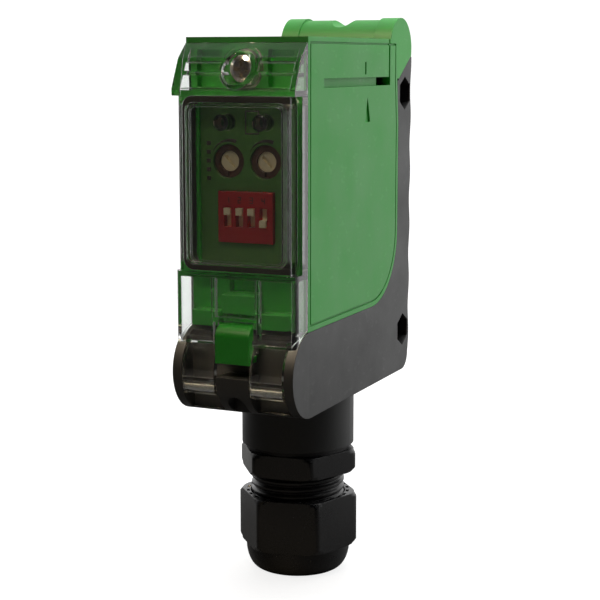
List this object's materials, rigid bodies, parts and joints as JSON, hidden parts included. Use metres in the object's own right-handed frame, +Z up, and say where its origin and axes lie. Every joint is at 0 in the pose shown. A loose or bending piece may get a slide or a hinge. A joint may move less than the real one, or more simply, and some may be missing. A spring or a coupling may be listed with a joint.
{
  "type": "photoelectric sensor",
  "caption": "Block-shaped photoelectric sensor: green head plugged into a black terminal base, hinged clear cover over the controls, and a cable gland below.",
  "frame": {"origin": "midway between the two mounting holes, in the middle of the width", "axes": "+X across the width, -Y towards the clear cover, +Y towards the optical window, +Z up"},
  "size_m": [0.0258, 0.0643, 0.1163],
  "materials": {
    "black_housing": "fine moulded grain, glass-filled",
    "green_housing": "fine moulded grain",
    "bright_green": "smooth moulded",
    "clear_cover": "polished clear polycarbonate",
    "black_rubber": "soft matt",
    "plated_screw": "plated",
    "white_nylon": "plain",
    "brass": "turned",
    "steel": "drawn",
    "dark_panel": "satin printed film",
    "circuit_board": "solder mask",
    "light_guide": "clear",
    "cream_plastic": "plain",
    "brown_pot": "plain",
    "red_plastic": "plain",
    "black_connector": "plain",
    "blue_relay": "plain",
    "yellow_coil": "wound and taped",
    "clear_lens": "polished",
    "red_diode": "moulded epoxy",
    "red_window": "polished dark red filter",
    "grey_terminal": "plain",
    "black_gland": "smooth polyamide",
    "grey_claw": "plain"
  },
  "bodies": {
    "sensor": {"base_housing": "black_housing", "sensor_housing": "green_housing", "threaded_insert": "brass", "hinge_pin": "steel", "control_panel": "dark_panel", "display_board": "circuit_board", "light_guides": "light_guide", "indicator_leds": "cream_plastic", "pot_body_left": "brown_pot", "pot_body_right": "brown_pot", "switch_block": "red_plastic", "main_board": "circuit_board", "board_connector": "black_connector", "relay": "blue_relay", "transformer": "yellow_coil", "capacitor": "blue_relay", "lens_carrier": "black_connector", "receiver_lens": "clear_lens", "emitter_lens": "clear_lens", "receiver_diode": "black_connector", "emitter_diode": "red_diode", "optic_window": "red_window", "housing_seal": "black_rubber", "terminal_block": "grey_terminal", "terminal_screws": "steel", "contact_plug": "black_connector", "gland_seal": "black_rubber", "gland_body": "black_gland", "sealing_insert": "black_rubber", "clamping_claw": "grey_claw"},
    "cover": {"front_cover": "clear_cover", "cover_seal": "black_rubber"},
    "screw": {"cover_screw": "plated_screw", "screw_washer": "white_nylon"},
    "tongue": {"release_tongue": "bright_green"},
    "left_rotor": {"pot_rotor_left": "cream_plastic"},
    "right_rotor": {"pot_rotor_right": "cream_plastic"},
    "lever_1": {"switch_lever_1": "cream_plastic"},
    "lever_2": {"switch_lever_2": "cream_plastic"},
    "lever_3": {"switch_lever_3": "cream_plastic"},
    "lever_4": {"switch_lever_4": "cream_plastic"},
    "gland_nut": {"cap_nut": "black_gland"}
  },
  "joints": [
    {"name": "cover_hinge", "type": "hinge", "parent": "sensor", "child": "cover", "pos_m": [0, -0.05825, -0.02925], "axis": [1, 0, 0], "range_deg": [0, 100]},
    {"name": "screw_turn", "type": "hinge", "parent": "cover", "child": "screw", "pos_m": [0, -0.054, 0.0319], "axis": [0, -1, 0], "continuous": true},
    {"name": "tongue_pivot", "type": "hinge", "parent": "sensor", "child": "tongue", "pos_m": [0, -0.0541, -0.0164], "axis": [1, 0, 0], "range_deg": [-8, 0], "stiffness_Nm_per_rad": 0.02},
    {"name": "left_pot_turn", "type": "hinge", "parent": "sensor", "child": "left_rotor", "pos_m": [-0.00395, -0.051, 0.0142], "axis": [0, -1, 0], "range_deg": [-135, 135]},
    {"name": "right_pot_turn", "type": "hinge", "parent": "sensor", "child": "right_rotor", "pos_m": [0.00395, -0.051, 0.0142], "axis": [0, -1, 0], "range_deg": [-135, 135]},
    {"name": "lever_1_slide", "type": "slide", "parent": "sensor", "child": "lever_1", "axis": [0, 0, 1], "range_m": [-0.0022, 0]},
    {"name": "lever_2_slide", "type": "slide", "parent": "sensor", "child": "lever_2", "axis": [0, 0, 1], "range_m": [-0.0022, 0]},
    {"name": "lever_3_slide", "type": "slide", "parent": "sensor", "child": "lever_3", "axis": [0, 0, 1], "range_m": [-0.0022, 0]},
    {"name": "lever_4_slide", "type": "slide", "parent": "sensor", "child": "lever_4", "axis": [0, 0, 1], "range_m": [0, 0.0022]},
    {"name": "cap_nut_turn", "type": "hinge", "parent": "sensor", "child": "gland_nut", "pos_m": [0, -0.0287, -0.065], "axis": [0, 0, -1], "continuous": true}
  ]
}
